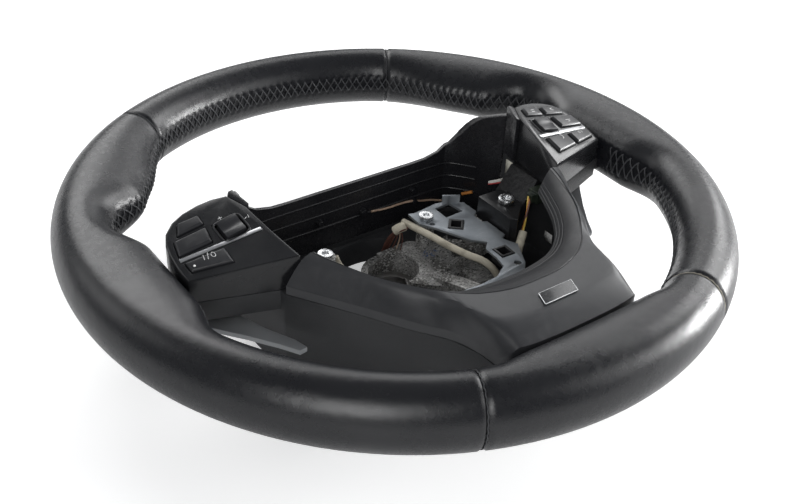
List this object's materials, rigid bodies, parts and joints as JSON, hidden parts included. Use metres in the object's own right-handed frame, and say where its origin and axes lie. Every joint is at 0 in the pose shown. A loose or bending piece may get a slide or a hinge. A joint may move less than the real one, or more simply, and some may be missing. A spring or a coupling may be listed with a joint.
{
  "type": "leather steering wheel",
  "caption": "Three-spoke leather steering wheel with switch pods, shift paddles and an open hub cavity for an airbag module.",
  "frame": {"origin": "on the steering axis at the column seat, the lower face of the steel hub insert", "axes": "+Z along the steering axis towards the driver, +Y towards 12 o'clock, +X to the driver's right"},
  "size_m": [0.38, 0.38, 0.0995],
  "materials": {
    "casting": "rough as-cast grey",
    "steel": "machined steel",
    "foam": "moulded foam",
    "leather": "smooth black leather, worn shiny",
    "grained_plastic": "fine grained black plastic",
    "gloss_plastic": "smooth black plastic",
    "trim_plastic": "satin dark grey lacquer",
    "chrome": "satin bright strip",
    "key_plastic": "satin black keys",
    "silicone": "grey silicone",
    "board": "green circuit board",
    "paddle_plastic": "silver grey lacquer",
    "zinc": "zinc plated sheet",
    "bright_screw": "bright plated screws",
    "socket_plastic": "plain black plastic",
    "connector_plastic": "dark connector",
    "tape": "beige cloth tape",
    "brown_wire": "brown insulated wire",
    "orange_wire": "orange insulated wire",
    "label": "blank cream label",
    "sticker": "blank white sticker"
  },
  "bodies": {
    "wheel": {"armature": "casting", "hub_insert": "steel", "rim_foam": "foam", "leather_upper": "leather", "leather_left": "leather", "leather_right": "leather", "leather_lower": "leather", "rear_cover": "grained_plastic", "upper_cover": "gloss_plastic", "lower_trim": "trim_plastic", "badge_plate": "trim_plastic", "left_housing": "gloss_plastic", "right_housing": "gloss_plastic", "left_strip": "chrome", "right_strip": "chrome", "left_mat": "silicone", "right_mat": "silicone", "left_board": "board", "right_board": "board", "rocker_pins": "steel", "left_bracket": "grained_plastic", "right_bracket": "grained_plastic", "paddle_pins": "steel", "sheet_plate": "zinc", "pan_screws": "bright_screw", "module_screw": "bright_screw", "latch_sockets": "socket_plastic", "control_module": "socket_plastic", "connector": "connector_plastic", "taped_harness": "tape", "feed_wires": "brown_wire", "pod_wires": "orange_wire", "code_label": "label", "pad_sticker": "sticker"},
    "set_key_body": {"set_key": "key_plastic"},
    "resume_key_body": {"resume_key": "key_plastic"},
    "power_key_body": {"power_key": "key_plastic"},
    "mode_key_body": {"mode_key": "key_plastic"},
    "next_key_body": {"next_key": "key_plastic"},
    "source_key_body": {"source_key": "key_plastic"},
    "phone_key_body": {"phone_key": "key_plastic"},
    "voice_key_body": {"voice_key": "key_plastic"},
    "speed_rocker_body": {"speed_rocker": "key_plastic"},
    "volume_rocker_body": {"volume_rocker": "key_plastic"},
    "left_paddle_body": {"left_paddle": "paddle_plastic"},
    "right_paddle_body": {"right_paddle": "paddle_plastic"}
  },
  "joints": [
    {"name": "set_key_push", "type": "slide", "parent": "wheel", "child": "set_key_body", "axis": [0.1905, 0.238, -0.9524], "range_m": [0, 0.001], "stiffness_N_per_m": 400},
    {"name": "resume_key_push", "type": "slide", "parent": "wheel", "child": "resume_key_body", "axis": [0.1905, 0.238, -0.9524], "range_m": [0, 0.001], "stiffness_N_per_m": 400},
    {"name": "power_key_push", "type": "slide", "parent": "wheel", "child": "power_key_body", "axis": [0.1905, 0.238, -0.9524], "range_m": [0, 0.001], "stiffness_N_per_m": 400},
    {"name": "mode_key_push", "type": "slide", "parent": "wheel", "child": "mode_key_body", "axis": [-0.1905, 0.238, -0.9524], "range_m": [0, 0.001], "stiffness_N_per_m": 400},
    {"name": "next_key_push", "type": "slide", "parent": "wheel", "child": "next_key_body", "axis": [-0.1905, 0.238, -0.9524], "range_m": [0, 0.001], "stiffness_N_per_m": 400},
    {"name": "source_key_push", "type": "slide", "parent": "wheel", "child": "source_key_body", "axis": [-0.1905, 0.238, -0.9524], "range_m": [0, 0.001], "stiffness_N_per_m": 400},
    {"name": "phone_key_push", "type": "slide", "parent": "wheel", "child": "phone_key_body", "axis": [-0.1905, 0.238, -0.9524], "range_m": [0, 0.001], "stiffness_N_per_m": 400},
    {"name": "voice_key_push", "type": "slide", "parent": "wheel", "child": "voice_key_body", "axis": [-0.1905, 0.238, -0.9524], "range_m": [0, 0.001], "stiffness_N_per_m": 400},
    {"name": "speed_rocker_tilt", "type": "hinge", "parent": "wheel", "child": "speed_rocker_body", "pos_m": [-0.10656, -0.00341, 0.0836], "axis": [0.9806, 0, 0.1961], "range_deg": [-6, 6], "stiffness_Nm_per_rad": 0.2},
    {"name": "volume_rocker_tilt", "type": "hinge", "parent": "wheel", "child": "volume_rocker_body", "pos_m": [0.10656, -0.00341, 0.0836], "axis": [-0.9806, 0, 0.1961], "range_deg": [-6, 6], "stiffness_Nm_per_rad": 0.2},
    {"name": "left_paddle_pull", "type": "hinge", "parent": "wheel", "child": "left_paddle_body", "pos_m": [-0.104, -0.003, 0.042], "axis": [0, 1, 0], "range_deg": [0, 6], "stiffness_Nm_per_rad": 2},
    {"name": "right_paddle_pull", "type": "hinge", "parent": "wheel", "child": "right_paddle_body", "pos_m": [0.104, -0.003, 0.042], "axis": [0, -1, 0], "range_deg": [0, 6], "stiffness_Nm_per_rad": 2}
  ]
}
